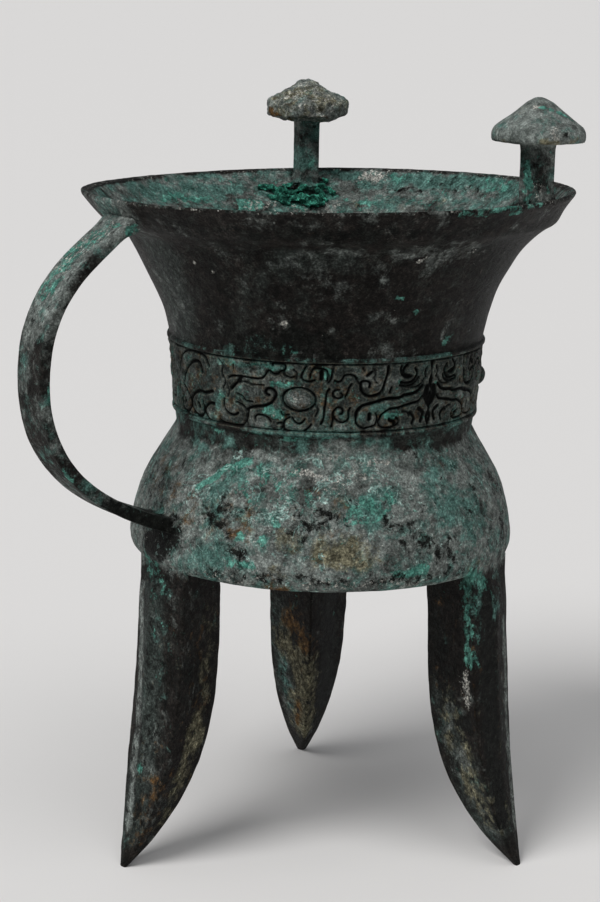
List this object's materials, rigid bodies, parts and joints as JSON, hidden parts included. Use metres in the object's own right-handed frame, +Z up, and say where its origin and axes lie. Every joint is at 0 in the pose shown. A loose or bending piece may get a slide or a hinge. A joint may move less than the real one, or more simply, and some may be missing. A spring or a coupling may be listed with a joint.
{
  "type": "jia wine vessel",
  "caption": "Bronze ritual wine vessel: flared bowl with capped posts on the rim, a relief band, a bulging belly on hollow pointed legs and a strap handle",
  "frame": {"origin": "middle of the ground box that the whole vessel covers, on the floor under the foot tips", "axes": "+Z up; the handle points to -X; the mirror plane of the form is X-Z; the two posts stand at +Y and -Y on the +X side"},
  "size_m": [0.237, 0.201, 0.315],
  "materials": {
    "patinated_bronze": "dark bronze with green and grey patina"
  },
  "bodies": {
    "root": {"jia_vessel": "patinated_bronze"}
  },
  "joints": []
}
